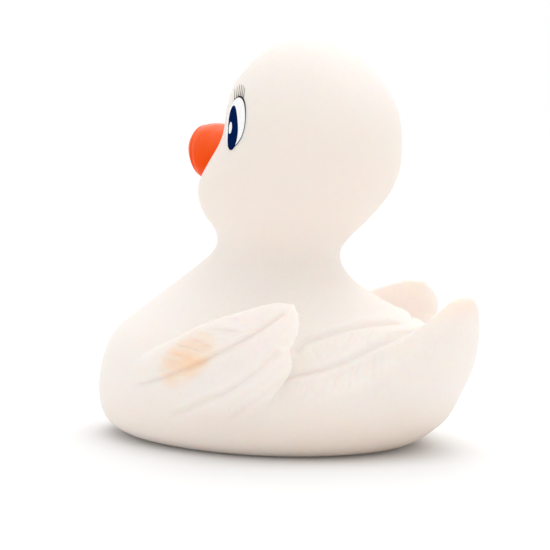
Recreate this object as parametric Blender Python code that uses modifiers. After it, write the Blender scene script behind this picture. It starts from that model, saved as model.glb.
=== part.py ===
"""Floating duck-shaped dispenser for one-inch pool tablets.

A hollow vinyl duck carries a watertight cup in its belly. A basket of tablets, with a flow sleeve round
it, stands on a bayonet cap that closes the cup from below. The duck twists on the cap and lifts off it
for refilling.

All dimensions are in millimetres, measured from the centre of the duck's flat base, which is the axis of
the cup. The duck looks along -Y and +Z is up. MM turns millimetres into metres where meshes are made.
"""

import math

import bmesh
import bpy
from mathutils import Vector

MM = 0.001
AXIS_Y = -6.35  # the cup's axis in the object's frame, whose origin is under the middle of the bounding box
GAP = 0.3  # clearance between pieces that touch
PAST = 1.0  # how far a cutter runs past the face it cuts, and a joined block into its neighbour

# Duck skin
WALL = 2.4
RING_POINTS = 32
CAVITY_POINTS = 25
TAIL_POINTS = 22
WING_POINTS = 20
RECESS_RADIUS = 46.0
LIP_RADIUS = 40.0
LIP_BOTTOM = 3.9
LIP_TOP = 6.2
COLLAR_RADIUS = RECESS_RADIUS + WALL
COLLAR_BOTTOM = 1.0

# Horizontal sections of the hull, neck and head: height, front, back, place of the greatest width, half width
BODY_SECTIONS = (
    (0.0, -71.0, 62.0, 0.0, 50.0),
    (1.6, -79.5, 69.0, 0.0, 55.0),
    (6.0, -87.0, 77.0, 0.0, 60.5),
    (13.0, -90.8, 84.0, 0.0, 63.5),
    (24.0, -91.5, 88.0, 0.0, 64.5),
    (39.0, -88.5, 87.0, 0.0, 62.0),
    (50.0, -82.5, 82.5, 0.0, 56.0),
    (58.0, -72.5, 74.0, 0.0, 48.0),
    (65.0, -63.0, 58.5, 0.0, 41.0),
    (71.0, -54.5, 46.5, 0.0, 35.5),
    (77.0, -46.0, 37.5, 0.0, 31.5),
    (84.0, -36.0, 32.5, 0.0, 28.5),
    (90.0, -28.5, 32.0, 2.0, 27.5),
    (98.0, -26.5, 39.0, 5.0, 31.0),
    (106.0, -33.0, 47.5, 8.0, 36.5),
    (115.0, -36.5, 55.5, 11.0, 40.0),
    (122.0, -35.5, 59.5, 13.5, 41.5),
    (130.0, -30.5, 62.0, 16.5, 42.0),
    (143.0, -21.3, 62.3, 20.0, 42.0),
    (156.0, -19.0, 59.8, 20.0, 40.5),
    (168.0, -15.3, 53.0, 19.5, 35.5),
    (178.0, -7.0, 44.0, 19.0, 27.5),
    (185.0, 1.5, 34.5, 18.0, 18.0),
    (189.0, 10.0, 24.0, 17.0, 8.0),
)
BODY_STEPS = 2  # rings for each pair of sections
CAVITY_STEPS = 1

# Horizontal sections of the upturned tail: height, middle, half length, half width, forward bend of the sides
TAIL_SECTIONS = (
    (6.0, 50.0, 27.0, 34.0, 2.0),
    (14.0, 56.0, 31.0, 38.0, 4.0),
    (26.0, 64.0, 30.0, 39.5, 6.0),
    (38.0, 75.0, 25.0, 37.0, 8.0),
    (50.0, 87.0, 16.5, 28.5, 8.0),
    (60.0, 94.5, 10.0, 21.0, 6.0),
    (66.0, 97.5, 6.4, 15.5, 3.5),
    (70.0, 98.5, 4.2, 10.5, 1.5),
    (72.0, 98.7, 2.0, 6.0, 0.5),
)

# Cross sections of the left wing, front to back: place, distance out, height, half thickness, half height
WING_SECTIONS = (
    (-50.0, 46.0, 27.0, 1.5, 2.0),
    (-44.0, 50.5, 29.0, 4.0, 8.0),
    (-28.0, 57.0, 33.5, 6.0, 17.0),
    (-8.0, 61.0, 37.5, 7.0, 24.0),
    (14.0, 63.5, 44.0, 7.0, 25.5),
    (31.0, 65.5, 51.0, 6.0, 21.5),
    (43.0, 67.5, 56.5, 5.0, 16.5),
    (50.0, 69.0, 57.0, 3.5, 14.0),
    (52.5, 69.5, 57.5, 1.5, 11.0),
)
WING_LEAN = math.radians(8)

# Cross sections of the bill, back to front: place, height, half width, height above and below
BILL_SECTIONS = (
    (-17.5, 136.0, 13.5, 10.0, 12.5),
    (-22.5, 136.0, 16.5, 12.4, 16.8),
    (-29.0, 136.0, 17.0, 13.0, 16.6),
    (-35.5, 136.2, 15.5, 12.2, 13.8),
    (-40.0, 136.6, 12.3, 9.7, 9.4),
    (-42.6, 137.2, 8.5, 6.5, 5.4),
    (-44.0, 137.6, 3.0, 2.2, 1.8),
)
BILL_POINTS = 28
SOCKET_DEPTH = 1.2  # how much longer than the bill its socket in the skin is, at each end

# Cup in the belly
CUP_INNER = 33.4
CUP_OUTER = 35.6
CUP_TOP = 60.0
CUP_ROOF = 58.0
CUP_CHAMFER = 1.0
SHOULDER_OUT = 0.6
SHOULDER_RISE = 3.4
MOUTH_INNER = 36.6
MOUTH_OUTER = 39.6
MOUTH_BOTTOM = 4.1
MOUTH_STEP = 0.2
MOUTH_SLOPE = 1.4
FLANGE_RADIUS = 46.0 - GAP
FLANGE_BOTTOM = 8.0
FLANGE_TOP = 12.0
LEDGE_INNER = 33.2
LEDGE_TOP = 6.5
KEY_INNER = 31.9
KEY_WIDTH = 3.0
KEY_BOTTOM = 14.5
BAYONETS = 3
BAYONET_SPAN = math.radians(50)

# Retaining ring, gasket, screws and ballast
RING_INNER = 38.2
RING_OUTER = 45.6
RING_BOTTOM = 0.6
RING_TOP = LIP_BOTTOM - GAP
RING_CHAMFER = 0.5
NOTCH_PLAY = 1.0
GASKET_INNER = LIP_RADIUS + 0.2
GASKET_BOTTOM = LIP_TOP + GAP
GASKET_TOP = FLANGE_BOTTOM - GAP
SCREWS = 6
SCREW_CIRCLE = 42.4
SCREW_RADIUS = 1.4
SCREW_HEAD = 3.0
SCREW_HEAD_HEIGHT = 1.6
SCREW_HEAD_EDGE = 0.3
SCREW_SEAT = 0.2
SCREW_TIP = 0.8
COUNTERSINK_EDGE = 0.4
HOLE_SIDES = 12
SCREW_STEPS = 14
SCREW_END = 11.0
BALLAST_INNER = 40.5
BALLAST_OUTER = 47.5
BALLAST_HEIGHT = 8.0
BALLAST_CHAMFER = 1.0

# Base cap
CAP_RADIUS = 37.6
CAP_RIM_TOP = 3.6
CAP_CHAMFER = 0.8
DISH_RADIUS = 30.4
DISH_FLOOR = 6.0
DISH_THICKNESS = 2.0
DISH_WALL = 1.0
NECK_RADIUS = 32.8
NECK_TOP = 9.8
LUG_RADIUS = 36.0
LUG_BOTTOM = 6.9
LUG_TOP = 9.4
GRIP_WIDTH = 9.0
GRIP_BOTTOM = 0.4
CAP_SLOTS = 12
CAP_SLOTS_FROM = 0.4  # least sine of a slot's angle, which keeps the slots off the grip bar
CAP_SLOT_INNER = 13.0
CAP_SLOT_OUTER = 26.5
CAP_SLOT_WIDTH = 3.4
BOSS_RADIUS = 5.0
BOSS_TOP = 12.7
PIVOT_HOLE = 2.2
PIVOT_HOLE_BOTTOM = 3.2
PIVOT_STEPS = 16
PIVOT_END = 3.6
PIVOT_TIP = 0.8
PIVOT_HEAD = 4.5
PIVOT_HEAD_TOP = 3.2
PIVOT_HEAD_HEIGHT = 2.4
WASHER_RADIUS = 8.0
WASHER_THICKNESS = 1.0
WASHER_STEPS = 24

# Lock slider
SLIDER_ANGLE = math.radians(270)
SLIDER_WIDTH = 8.0
SLIDER_BOTTOM = 1.1
SLIDER_TOP = 2.6
SLIDER_INNER = 20.0
SLIDER_OUTER = 37.2
SLIDER_TRAVEL = 3.5
THUMB_LENGTH = 5.0
THUMB_TOP = 5.2
THUMB_BOTTOM = SLIDER_BOTTOM + 0.5
LOCK_TURN = math.radians(60)

# Basket, flow sleeve and tablets
BASKET_INNER = 28.2
BASKET_OUTER = 29.8
BASKET_BOTTOM = 10.4
BASKET_FLOOR = 12.4
BASKET_TOP = 56.5
BASKET_RIM = 32.8
BASKET_FOOT = 31.6
RIM_HEIGHT = 2.4
BOSS_PLAY = 0.4
BASKET_RIBS = 6
RIB_INNER = 10.5
RIB_WIDTH = 2.0
RIB_TOP = 17.0
FLOOR_SLOT_INNER = 12.0
FLOOR_SLOT_OUTER = 25.0
FLOOR_SLOT_WIDTH = 3.4
WINDOWS = 6
WINDOW_SPAN = math.radians(24)
WINDOW_BOTTOM = 19.0
WINDOW_TOP = 49.0
WINDOW_STEPS = 3
SLEEVE_INNER = BASKET_OUTER + 0.4
SLEEVE_OUTER = BASKET_FOOT
SLEEVE_WINDOW_SPAN = math.radians(26)
SLEEVE_WINDOW_MARGIN = 1.0
TABLET_RADIUS = 12.7
TABLET_HEIGHT = 19.0
TABLET_EDGE = 1.6
TABLET_STEPS = 28
TABLET_CIRCLE = 14.9
TABLETS_IN_LAYER = 3
TABLET_TURN = 0.25  # how far a layer is turned from the X axis, as a share of the angle between two tablets
LAYERS = 2

TURN_STEPS = 40
COLLECTION = "duck_dispenser"
CUTTERS = "cutters"

COLOURS = {
    "cream_vinyl": ((0.91, 0.84, 0.77), 0.5, 0.0),
    "orange_vinyl": ((1.0, 0.13, 0.02), 0.2, 0.0),
    "white_plastic": ((0.86, 0.88, 0.88), 0.4, 0.0),
    "blue_plastic": ((0.05, 0.3, 0.6), 0.4, 0.0),
    "pale_blue_plastic": ((0.45, 0.7, 0.85), 0.4, 0.0),
    "black_rubber": ((0.03, 0.03, 0.03), 0.7, 0.0),
    "stainless_steel": ((0.6, 0.6, 0.6), 0.3, 1.0),
    "zinc_steel": ((0.5, 0.52, 0.53), 0.45, 1.0),
    "tablet": ((0.9, 0.91, 0.9), 0.9, 0.0),
}


def clear_scene():
    for obj in list(bpy.data.objects):
        bpy.data.objects.remove(obj, do_unlink=True)


def new_collection(name, hidden=False):
    collection = bpy.data.collections.new(name)
    bpy.context.scene.collection.children.link(collection)
    collection.hide_render = hidden
    return collection


def material(name, colour_name):
    colour, roughness, metallic = COLOURS[colour_name]
    made = bpy.data.materials.new(name)
    made.use_nodes = True
    shader = made.node_tree.nodes["Principled BSDF"]
    shader.inputs["Base Color"].default_value = (*colour, 1.0)
    shader.inputs["Roughness"].default_value = roughness
    shader.inputs["Metallic"].default_value = metallic
    return made


def mesh_object(name, bm):
    """A new object with this mesh, with its origin on the cup's axis."""
    bmesh.ops.recalc_face_normals(bm, faces=bm.faces)
    bmesh.ops.scale(bm, vec=(MM, MM, MM), verts=bm.verts)
    mesh = bpy.data.meshes.new(name)
    bm.to_mesh(mesh)
    bm.free()
    obj = bpy.data.objects.new(name, mesh)
    obj.location = (0.0, AXIS_Y * MM, 0.0)
    return obj


def part(obj, colour_name, parent):
    """Makes the object a visible part on the empty that its joint turns or slides."""
    bpy.data.collections[COLLECTION].objects.link(obj)
    obj.parent = parent
    obj.location = (0.0, 0.0, 0.0)
    obj.data.materials.append(material(obj.name, colour_name))
    obj.data.shade_smooth()
    obj.data.set_sharp_from_angle(angle=math.radians(35))
    return obj


def cutter(obj):
    bpy.data.collections[CUTTERS].objects.link(obj)
    obj.hide_render = True
    obj.display_type = "WIRE"
    return obj


def combine(obj, other, operation):
    boolean = obj.modifiers.new(f"{operation.lower()}_{other.name}", "BOOLEAN")
    boolean.object = other
    boolean.operation = operation
    boolean.solver = "EXACT"
    return boolean


def cut(obj, *others):
    for other in others:
        combine(obj, other, "DIFFERENCE")


def add(obj, *others):
    for other in others:
        combine(obj, other, "UNION")


def axis_empty(name, parent=None):
    """An empty on the cup's axis, for the pieces that one joint moves."""
    empty = bpy.data.objects.new(name, None)
    bpy.data.collections[COLLECTION].objects.link(empty)
    empty.parent = parent
    if parent is None:
        empty.location = (0.0, AXIS_Y * MM, 0.0)
    return empty


def turned(name, profile, closed=False, steps=TURN_STEPS):
    """A solid turned about the cup's axis. Its profile runs down the outside, and back up inside if closed."""
    bm = bmesh.new()
    points = [bm.verts.new((radius, 0.0, height)) for radius, height in profile]
    for first, second in zip(points, points[1:]):
        bm.edges.new((first, second))
    if closed:
        bm.edges.new((points[-1], points[0]))
    obj = mesh_object(name, bm)
    screw = obj.modifiers.new("turn", "SCREW")
    screw.steps = steps
    screw.render_steps = steps
    screw.use_merge_vertices = True
    screw.merge_threshold = 0.00005
    return obj


def ring_profile(inner, outer, bottom, top, chamfer=0.0):
    """A closed rectangular profile, with chamfers on its outer edges if they have a size."""
    side = [(outer, top - chamfer), (outer, bottom + chamfer)]
    if chamfer:
        side = [(outer - chamfer, top), *side, (outer - chamfer, bottom)]
    return [*side, (inner, bottom), (inner, top)]


def loft(bm, rings):
    """Skins the rings, which all have the same number of points, and closes both ends."""
    rows = [[bm.verts.new(point) for point in ring] for ring in rings]
    count = len(rows[0])
    for low, high in zip(rows, rows[1:]):
        for i in range(count):
            j = (i + 1) % count
            bm.faces.new((low[i], low[j], high[j], high[i]))
    bm.faces.new(rows[0])
    bm.faces.new(rows[-1])


def arc_block(bm, inner, outer, bottom, top, middle, span, steps=6):
    """A block bent about the cup's axis."""
    rings = []
    for step in range(steps + 1):
        angle = middle + span * (step / steps - 0.5)
        x, y = math.cos(angle), math.sin(angle)
        rings.append([(r * x, r * y, z) for r, z in ring_profile(inner, outer, bottom, top)])
    loft(bm, rings)


def arc_blocks(name, inner, outer, bottom, top, count, first, span, steps=6):
    bm = bmesh.new()
    for i in range(count):
        arc_block(bm, inner, outer, bottom, top, first + math.tau * i / count, span, steps)
    return mesh_object(name, bm)


def radial_boxes(name, inner, outer, width, bottom, top, angles):
    """Straight boxes that point outward from the axis."""
    bm = bmesh.new()
    for angle in angles:
        along = Vector((math.cos(angle), math.sin(angle), 0.0))
        across = Vector((-along.y, along.x, 0.0)) * width / 2
        ends = []
        for radius in (inner, outer):
            ends.append([
                along * radius + across * side + Vector((0.0, 0.0, height))
                for side, height in ((-1, bottom), (1, bottom), (1, top), (-1, top))
            ])
        loft(bm, ends)
    return mesh_object(name, bm)


def posts(name, radius, bottom, top, circle, count, sides=HOLE_SIDES):
    """Round cutters on a circle about the axis."""
    bm = bmesh.new()
    for i in range(count):
        angle = math.tau * i / count
        centre = Vector((circle * math.cos(angle), circle * math.sin(angle), 0.0))
        rings = []
        for height in (bottom, top):
            rings.append([
                centre + Vector((radius * math.cos(turn), radius * math.sin(turn), height))
                for turn in (math.tau * step / sides for step in range(sides))
            ])
        loft(bm, rings)
    return mesh_object(name, bm)


def between(rows, steps):
    """Rows of numbers with steps - 1 more rows inside each pair, on smooth curves through all of them."""
    result = []
    last = len(rows) - 1
    for i in range(last):
        before, start, end, after = rows[max(i - 1, 0)], rows[i], rows[i + 1], rows[min(i + 2, last)]
        for step in range(steps):
            t = step / steps
            row = []
            for a, b, c, d in zip(before, start, end, after):
                bend = (2 * a - 5 * b + 4 * c - d) * t ** 2 + (3 * b - a - 3 * c + d) * t ** 3
                row.append(b + ((c - a) * t + bend) / 2)
            result.append(tuple(row))
    result.append(rows[last])
    return result


def body_ring(height, front, back, widest, half_width, count=RING_POINTS):
    """Two half ellipses that meet where the body is widest."""
    ring = []
    for i in range(count):
        angle = math.tau * i / count
        reach = back - widest if math.sin(angle) > 0 else widest - front
        ring.append((half_width * math.cos(angle), widest + reach * math.sin(angle), height))
    return ring


def tail_ring(height, middle, half_length, half_width, bend, count=TAIL_POINTS):
    ring = []
    for i in range(count):
        angle = math.tau * i / count
        side = math.cos(angle)
        ring.append((half_width * side, middle + half_length * math.sin(angle) - bend * side * side, height))
    return ring


def wing_ring(place, out, height, half_thickness, half_height, side, count=WING_POINTS):
    ring = []
    for i in range(count):
        angle = math.tau * i / count
        across, up = half_thickness * math.cos(angle), half_height * math.sin(angle)
        lean = math.sin(WING_LEAN) * up
        ring.append((side * (out + across + lean), place, height + up))
    return ring


def shrink(bm, depth):
    """Moves the surface inward by this depth."""
    bmesh.ops.recalc_face_normals(bm, faces=bm.faces)
    bm.normal_update()
    moves = [(vert, vert.normal * depth) for vert in bm.verts]
    for vert, move in moves:
        vert.co -= move


def body_form(name, steps, depth=0.0, count=RING_POINTS):
    bm = bmesh.new()
    loft(bm, [body_ring(*row, count=count) for row in between(BODY_SECTIONS, steps)])
    if depth:
        shrink(bm, depth)
    return mesh_object(name, bm)


def tail_form(name, depth=0.0):
    bm = bmesh.new()
    loft(bm, [tail_ring(*row) for row in TAIL_SECTIONS])
    if depth:
        shrink(bm, depth)
    return mesh_object(name, bm)


def wing_form(name, side, depth=0.0):
    bm = bmesh.new()
    loft(bm, [wing_ring(*row, side) for row in WING_SECTIONS])
    if depth:
        shrink(bm, depth)
    return mesh_object(name, bm)


def bill_form(name, grow=0.0):
    bm = bmesh.new()
    rings = []
    for place, height, half_width, above, below in BILL_SECTIONS:
        ring = []
        for i in range(BILL_POINTS):
            angle = math.tau * i / BILL_POINTS
            reach = grow + (above if math.sin(angle) > 0 else below)
            ring.append(((half_width + grow) * math.cos(angle), place, height + reach * math.sin(angle)))
        rings.append(ring)
    if grow:
        rings[0] = [(x, y + SOCKET_DEPTH, z) for x, y, z in rings[0]]
        rings[-1] = [(x, y - SOCKET_DEPTH, z) for x, y, z in rings[-1]]
    loft(bm, rings)
    return mesh_object(name, bm)


def make_skin(parent):
    skin = part(body_form("duck_skin", BODY_STEPS), "cream_vinyl", parent)
    add(skin, cutter(tail_form("tail_outer")))
    for side, name in ((1, "left"), (-1, "right")):
        add(skin, cutter(wing_form(f"wing_{name}", side)))
    cut(skin, cutter(body_form("cavity", CAVITY_STEPS, WALL, CAVITY_POINTS)))
    cut(skin, cutter(tail_form("tail_cavity", WALL)))
    add(skin, disc("collar", COLLAR_RADIUS, COLLAR_BOTTOM, LIP_TOP))
    cut(skin, disc("recess", RECESS_RADIUS, -2 * PAST, LIP_BOTTOM))
    cut(skin, disc("opening", LIP_RADIUS, -3 * PAST, LIP_TOP + 3 * PAST))
    cut(skin, screw_holes("lip_holes", LIP_BOTTOM, LIP_TOP))
    cut(skin, cutter(bill_form("bill_socket", GAP)))
    return skin


def disc(name, radius, bottom, top):
    """A round cutter on the cup's axis."""
    return cutter(turned(name, [(0, top), (radius, top), (radius, bottom), (0, bottom)]))


def screw_holes(name, bottom, top):
    return cutter(posts(name, SCREW_RADIUS + GAP, bottom - PAST, top + PAST, SCREW_CIRCLE, SCREWS))


def make_cup(parent):
    profile = [
        (0, CUP_TOP), (CUP_OUTER - CUP_CHAMFER, CUP_TOP), (CUP_OUTER, CUP_TOP - CUP_CHAMFER),
        (CUP_OUTER, FLANGE_TOP + SHOULDER_RISE), (MOUTH_OUTER - SHOULDER_OUT, FLANGE_TOP),
        (FLANGE_RADIUS, FLANGE_TOP), (FLANGE_RADIUS, FLANGE_BOTTOM), (MOUTH_OUTER, FLANGE_BOTTOM),
        (MOUTH_OUTER, MOUTH_BOTTOM), (MOUTH_INNER, MOUTH_BOTTOM), (MOUTH_INNER, FLANGE_TOP + MOUTH_STEP),
        (CUP_INNER, FLANGE_TOP + MOUTH_STEP + MOUTH_SLOPE), (CUP_INNER, CUP_ROOF), (0, CUP_ROOF),
    ]
    cup = part(turned("well_cup", profile), "white_plastic", parent)
    ledges = arc_blocks(
        "ledges", LEDGE_INNER, MOUTH_INNER + PAST, MOUTH_BOTTOM, LEDGE_TOP, BAYONETS, math.pi / 2,
        BAYONET_SPAN,
    )
    ribs = radial_boxes(
        "key_ribs", KEY_INNER, CUP_INNER + PAST, KEY_WIDTH, KEY_BOTTOM, CUP_ROOF + PAST, (0.0, math.pi)
    )
    add(cup, cutter(ledges), cutter(ribs))
    cut(cup, screw_holes("flange_holes", FLANGE_BOTTOM, SCREW_END + GAP - PAST))
    return cup


def make_ring(parent):
    profile = ring_profile(RING_INNER, RING_OUTER, RING_BOTTOM, RING_TOP, RING_CHAMFER)
    ring = part(turned("retaining_ring", profile, closed=True), "white_plastic", parent)
    cut(ring, screw_holes("ring_holes", RING_BOTTOM, RING_TOP))
    cut(ring, countersinks())
    notches = radial_boxes(
        "lock_notches", RING_INNER - PAST, SLIDER_OUTER + SLIDER_TRAVEL + NOTCH_PLAY,
        SLIDER_WIDTH + NOTCH_PLAY, SLIDER_BOTTOM - GAP, SLIDER_TOP + GAP,
        (SLIDER_ANGLE - LOCK_TURN, SLIDER_ANGLE, SLIDER_ANGLE + LOCK_TURN),
    )
    cut(ring, cutter(notches))
    return ring


def countersinks():
    wide = SCREW_HEAD + GAP
    edge = RING_BOTTOM + COUNTERSINK_EDGE
    sections = ((wide, RING_BOTTOM - PAST), (wide, edge), (SCREW_RADIUS, edge + SCREW_HEAD_HEIGHT))
    bm = bmesh.new()
    for i in range(SCREWS):
        angle = math.tau * i / SCREWS
        centre = Vector((SCREW_CIRCLE * math.cos(angle), SCREW_CIRCLE * math.sin(angle), 0.0))
        rings = []
        for radius, height in sections:
            rings.append([
                centre + Vector((radius * math.cos(turn), radius * math.sin(turn), height))
                for turn in (math.tau * step / HOLE_SIDES for step in range(HOLE_SIDES))
            ])
        loft(bm, rings)
    return cutter(mesh_object("countersinks", bm))


def make_screws(parent):
    bottom = RING_BOTTOM + SCREW_SEAT
    profile = [
        (0, SCREW_END), (SCREW_RADIUS - SCREW_TIP, SCREW_END), (SCREW_RADIUS, SCREW_END - SCREW_TIP),
        (SCREW_RADIUS, bottom + SCREW_HEAD_HEIGHT), (SCREW_HEAD, bottom + SCREW_HEAD_EDGE),
        (SCREW_HEAD, bottom), (0, bottom),
    ]
    for i in range(SCREWS):
        angle = math.tau * i / SCREWS
        screw = part(turned(f"ring_screw_{i + 1}", profile, steps=SCREW_STEPS), "stainless_steel", parent)
        screw.location = (SCREW_CIRCLE * math.cos(angle) * MM, SCREW_CIRCLE * math.sin(angle) * MM, 0.0)


def make_duck(parent):
    make_skin(parent)
    part(bill_form("bill"), "orange_vinyl", parent)
    make_cup(parent)
    gasket = turned(
        "skin_gasket", ring_profile(GASKET_INNER, RING_OUTER, GASKET_BOTTOM, GASKET_TOP), closed=True
    )
    part(gasket, "black_rubber", parent)
    cut(gasket, screw_holes("gasket_holes", GASKET_BOTTOM, GASKET_TOP))
    make_ring(parent)
    make_screws(parent)
    bottom = FLANGE_TOP + GAP
    ballast = ring_profile(BALLAST_INNER, BALLAST_OUTER, bottom, bottom + BALLAST_HEIGHT, BALLAST_CHAMFER)
    part(turned("ballast_ring", ballast, closed=True), "zinc_steel", parent)


def make_cap(parent):
    dish_wall = DISH_RADIUS - DISH_WALL
    dish_top = DISH_FLOOR + DISH_THICKNESS
    profile = [
        (0, BOSS_TOP), (BOSS_RADIUS, BOSS_TOP), (BOSS_RADIUS, dish_top), (DISH_RADIUS, dish_top),
        (DISH_RADIUS, NECK_TOP), (NECK_RADIUS, NECK_TOP), (NECK_RADIUS, CAP_RIM_TOP),
        (CAP_RADIUS, CAP_RIM_TOP), (CAP_RADIUS, CAP_CHAMFER), (CAP_RADIUS - CAP_CHAMFER, 0.0),
        (DISH_RADIUS, 0.0),
        (dish_wall, DISH_WALL), (dish_wall, DISH_FLOOR), (0, DISH_FLOOR),
    ]
    cap = part(turned("base_cap", profile), "white_plastic", parent)
    lugs = arc_blocks(
        "lugs", NECK_RADIUS - PAST, LUG_RADIUS, LUG_BOTTOM, LUG_TOP, BAYONETS,
        math.pi / 2 + math.pi / BAYONETS, BAYONET_SPAN
    )
    grip = radial_boxes(
        "grip_bar", -DISH_RADIUS, DISH_RADIUS, GRIP_WIDTH, GRIP_BOTTOM, DISH_FLOOR + PAST, (0.0,)
    )
    add(cap, cutter(lugs), cutter(grip))
    angles = [math.tau * (i + 0.5) / CAP_SLOTS for i in range(CAP_SLOTS)]
    beside_grip = [angle for angle in angles if abs(math.sin(angle)) > CAP_SLOTS_FROM]
    slots = radial_boxes(
        "cap_slots", CAP_SLOT_INNER, CAP_SLOT_OUTER, CAP_SLOT_WIDTH, DISH_FLOOR - PAST, dish_top + PAST,
        beside_grip,
    )
    slider_way = radial_boxes(
        "slider_way", dish_wall - 2 * PAST, CAP_RADIUS + PAST, SLIDER_WIDTH + 2 * GAP, SLIDER_BOTTOM - GAP,
        SLIDER_TOP + GAP, (SLIDER_ANGLE,),
    )
    top = BOSS_TOP + PAST
    bore = [(0, top), (PIVOT_HOLE, top), (PIVOT_HOLE, PIVOT_HOLE_BOTTOM), (0, PIVOT_HOLE_BOTTOM)]
    cut(cap, cutter(slots), cutter(slider_way), cutter(turned("pivot_hole", bore, steps=PIVOT_STEPS)))
    return cap


def make_pivot(parent):
    bottom = BOSS_TOP + GAP
    washer = ring_profile(PIVOT_HOLE + 0.2, WASHER_RADIUS, bottom, bottom + WASHER_THICKNESS)
    part(turned("pivot_washer", washer, closed=True, steps=WASHER_STEPS), "stainless_steel", parent)
    seat = bottom + WASHER_THICKNESS + GAP
    head_top = seat + PIVOT_HEAD_HEIGHT
    shank = PIVOT_HOLE - GAP
    profile = [
        (0, head_top), (PIVOT_HEAD_TOP, head_top), (PIVOT_HEAD, (seat + head_top) / 2), (PIVOT_HEAD, seat),
        (shank, seat), (shank, PIVOT_END + PIVOT_TIP), (shank - PIVOT_TIP, PIVOT_END), (0, PIVOT_END),
    ]
    part(turned("pivot_screw", profile, steps=PIVOT_STEPS), "stainless_steel", parent)


def make_slider(parent):
    slider = radial_boxes(
        "lock_slider", SLIDER_INNER, SLIDER_OUTER, SLIDER_WIDTH, SLIDER_BOTTOM, SLIDER_TOP, (SLIDER_ANGLE,)
    )
    part(slider, "blue_plastic", parent)
    thumb = radial_boxes(
        "thumb_pad", SLIDER_INNER, SLIDER_INNER + THUMB_LENGTH, SLIDER_WIDTH, THUMB_BOTTOM, THUMB_TOP,
        (SLIDER_ANGLE,),
    )
    add(slider, cutter(thumb))
    return slider


def make_basket(parent):
    under_rim = BASKET_TOP - RIM_HEIGHT
    profile = [
        (BASKET_RIM, BASKET_TOP), (BASKET_RIM, under_rim), (BASKET_OUTER, under_rim),
        (BASKET_OUTER, BASKET_FLOOR), (BASKET_FOOT, BASKET_FLOOR), (BASKET_FOOT, BASKET_BOTTOM),
        (BOSS_RADIUS + BOSS_PLAY, BASKET_BOTTOM), (BOSS_RADIUS + BOSS_PLAY, BASKET_FLOOR),
        (BASKET_INNER, BASKET_FLOOR), (BASKET_INNER, BASKET_TOP),
    ]
    basket = part(turned("tablet_basket", profile, closed=True), "pale_blue_plastic", parent)
    rib_angles = [math.tau * i / BASKET_RIBS for i in range(BASKET_RIBS)]
    wall_middle = (BASKET_INNER + BASKET_OUTER) / 2
    ribs = radial_boxes(
        "basket_ribs", RIB_INNER, wall_middle, RIB_WIDTH, BASKET_FLOOR - PAST, RIB_TOP, rib_angles
    )
    add(basket, cutter(ribs))
    windows = arc_blocks(
        "basket_windows", BASKET_INNER - PAST, BASKET_OUTER + PAST, WINDOW_BOTTOM, WINDOW_TOP, WINDOWS,
        math.pi / WINDOWS, WINDOW_SPAN, WINDOW_STEPS,
    )
    slots = radial_boxes(
        "floor_slots", FLOOR_SLOT_INNER, FLOOR_SLOT_OUTER, FLOOR_SLOT_WIDTH, BASKET_BOTTOM - PAST,
        BASKET_FLOOR + PAST, [angle + math.pi / BASKET_RIBS for angle in rib_angles],
    )
    keyways = radial_boxes(
        "keyways", KEY_INNER - GAP, BASKET_RIM + PAST, KEY_WIDTH + 4 * GAP, under_rim - PAST,
        BASKET_TOP + PAST, (0.0, math.pi),
    )
    cut(basket, cutter(windows), cutter(slots), cutter(keyways))
    return basket


def make_sleeve(parent):
    bottom, top = BASKET_FLOOR + GAP, BASKET_TOP - RIM_HEIGHT - GAP
    sleeve = turned("flow_sleeve", ring_profile(SLEEVE_INNER, SLEEVE_OUTER, bottom, top), closed=True)
    part(sleeve, "blue_plastic", parent)
    windows = arc_blocks(
        "sleeve_windows", SLEEVE_INNER - PAST, SLEEVE_OUTER + PAST, WINDOW_BOTTOM - SLEEVE_WINDOW_MARGIN,
        WINDOW_TOP + SLEEVE_WINDOW_MARGIN, WINDOWS, math.pi / WINDOWS, SLEEVE_WINDOW_SPAN, WINDOW_STEPS,
    )
    cut(sleeve, cutter(windows))
    return sleeve


def make_tablets(parent):
    for i in range(LAYERS * TABLETS_IN_LAYER):
        layer, place = divmod(i, TABLETS_IN_LAYER)
        bottom = RIB_TOP + GAP + layer * (TABLET_HEIGHT + GAP)
        top = bottom + TABLET_HEIGHT
        profile = [
            (0, top), (TABLET_RADIUS - TABLET_EDGE, top), (TABLET_RADIUS, top - TABLET_EDGE),
            (TABLET_RADIUS, bottom + TABLET_EDGE), (TABLET_RADIUS - TABLET_EDGE, bottom), (0, bottom),
        ]
        tablet = part(turned(f"tablet_{i + 1}", profile, steps=TABLET_STEPS), "tablet", parent)
        angle = math.tau * (place + TABLET_TURN) / TABLETS_IN_LAYER
        tablet.location = (TABLET_CIRCLE * math.cos(angle) * MM, TABLET_CIRCLE * math.sin(angle) * MM, 0.0)


def main():
    clear_scene()
    new_collection(COLLECTION)
    new_collection(CUTTERS, hidden=True)
    base = axis_empty("base_axis")
    lock = axis_empty("lock_slide_axis", base)
    twist = axis_empty("twist_lock_axis", base)
    flow = axis_empty("flow_adjust_axis", twist)
    lift = axis_empty("duck_lift_axis", twist)
    make_cap(base)
    make_pivot(base)
    make_slider(lock)
    make_basket(twist)
    make_tablets(twist)
    make_sleeve(flow)
    make_duck(lift)


main()
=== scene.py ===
"""Looks of the duck-shaped tablet dispenser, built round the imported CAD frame.

Shapes are worked out in millimetres about the axis of the belly cup, which stands at (0, AXIS_Y) in the
frame, and turned into metres in place(). The duck looks along -Y, and its left side is +X.
"""

import math

import bmesh
import bpy
import numpy as np
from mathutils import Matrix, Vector
from mathutils.bvhtree import BVHTree


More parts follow.
